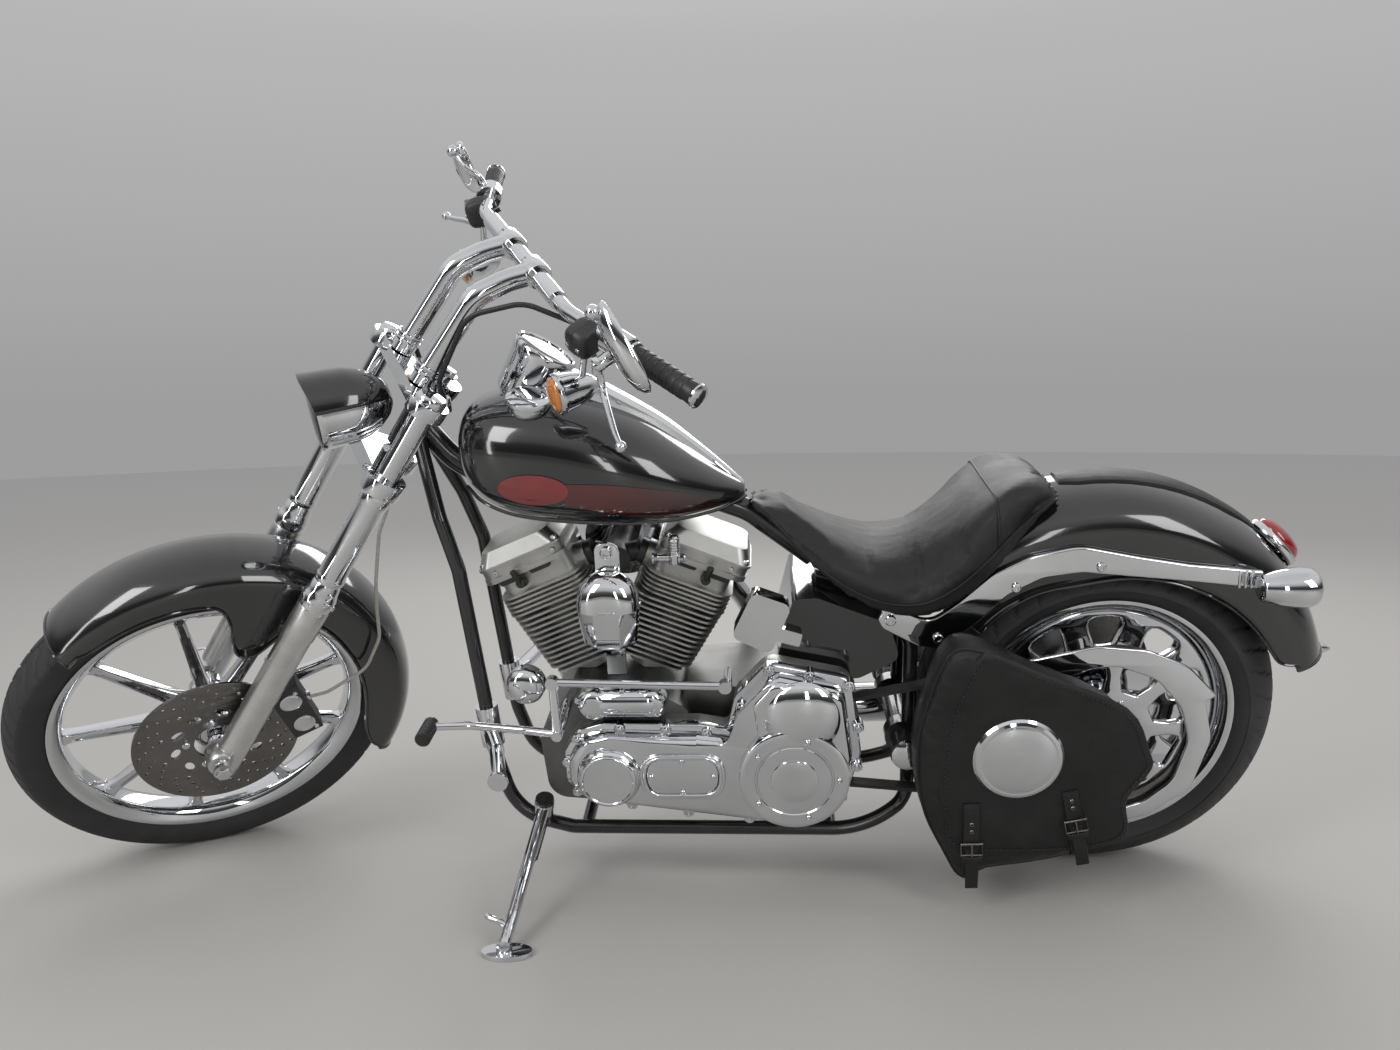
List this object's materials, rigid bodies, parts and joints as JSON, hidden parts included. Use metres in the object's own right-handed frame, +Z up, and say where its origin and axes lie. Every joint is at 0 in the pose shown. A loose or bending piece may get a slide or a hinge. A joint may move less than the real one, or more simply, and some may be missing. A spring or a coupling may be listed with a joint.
{
  "type": "chopper motorcycle",
  "caption": "Long raked cruiser motorcycle with vee engine, pulled-back bars, solo seat and one leather side bag, parked leaning on its side stand.",
  "frame": {"origin": "on the floor, under the middle of the parked motorcycle's box", "axes": "+X points to the rear of the motorcycle, +Y to the rider's right, +Z up"},
  "size_m": [2.3756, 0.8136, 1.3985],
  "materials": {
    "gloss_black": "high-gloss black lacquer",
    "frame_black": "gloss black powder coat",
    "chrome": "polished chrome plate",
    "engine_silver": "silver-grey cast aluminium",
    "satin_alloy": "satin turned aluminium",
    "tyre_rubber": "dull black tyre rubber",
    "grip_rubber": "black grip rubber",
    "black_leather": "smooth black leather",
    "belt_rubber": "toothed drive belt",
    "disc_steel": "dark ground brake disc",
    "black_cast": "satin black casting",
    "hose_grey": "pale sleeved brake hose",
    "lamp_red": "red lens"
  },
  "bodies": {
    "chassis": {"rear_axle": "chrome", "frame_backbone": "frame_black", "frame_cradle": "frame_black", "swingarm": "frame_black", "crankcase": "engine_silver", "cylinders": "engine_silver", "cylinder_heads": "engine_silver", "rocker_boxes": "engine_silver", "cam_cover": "chrome", "pushrod_tubes": "chrome", "intake": "black_cast", "air_cleaner": "chrome", "horn_cover": "chrome", "primary_case": "engine_silver", "primary_cover": "chrome", "transmission": "engine_silver", "drive_belt": "belt_rubber", "front_pulley": "satin_alloy", "belt_guard": "chrome", "starter": "chrome", "shift_linkage": "chrome", "rear_caliper": "black_cast", "oil_tank": "gloss_black", "coil_cover": "chrome", "fuel_tank": "gloss_black", "dash_console": "chrome", "seat": "black_leather", "rear_fender": "gloss_black", "fender_struts": "chrome", "rear_signals": "chrome", "tail_lamp": "lamp_red", "saddlebag": "black_leather", "exhaust": "chrome", "foot_controls": "chrome", "stand_bracket": "frame_black"},
    "steering": {"front_axle": "chrome", "fork_legs": "satin_alloy", "fork_tubes": "chrome", "triple_trees": "chrome", "risers": "chrome", "handlebar": "chrome", "grips": "grip_rubber", "hand_controls": "chrome", "switch_boxes": "black_cast", "mirrors": "chrome", "headlamp": "gloss_black", "front_signals": "chrome", "front_fender": "gloss_black", "front_caliper": "black_cast", "brake_hose": "hose_grey", "control_cables": "grip_rubber"},
    "front_wheel": {"front_tyre": "tyre_rubber", "front_rim": "chrome", "front_disc": "disc_steel"},
    "rear_wheel": {"rear_tyre": "tyre_rubber", "rear_rim": "chrome", "rear_disc": "disc_steel", "rear_sprocket": "chrome"},
    "side_stand": {"side_stand": "chrome"}
  },
  "joints": [
    {"name": "steering_turn", "type": "hinge", "parent": "chassis", "child": "steering", "pos_m": [-0.82759, 0.08426, 0.28331], "axis": [0.5665, -0.1703, 0.8063], "range_deg": [-70.8, 0]},
    {"name": "front_wheel_spin", "type": "hinge", "parent": "steering", "child": "front_wheel", "pos_m": [-0.87789, 0.03448, 0.30814], "axis": [-0.4788, 0.7282, 0.4903], "continuous": true},
    {"name": "rear_wheel_spin", "type": "hinge", "parent": "chassis", "child": "rear_wheel", "pos_m": [0.8097, 0.07927, 0.32117], "axis": [-0.0018, 0.9781, 0.2079], "continuous": true},
    {"name": "side_stand_fold", "type": "hinge", "parent": "chassis", "child": "side_stand", "pos_m": [-0.21382, -0.04113, 0.14755], "axis": [0.1375, -0.448, 0.8834], "range_deg": [0, 82]}
  ]
}
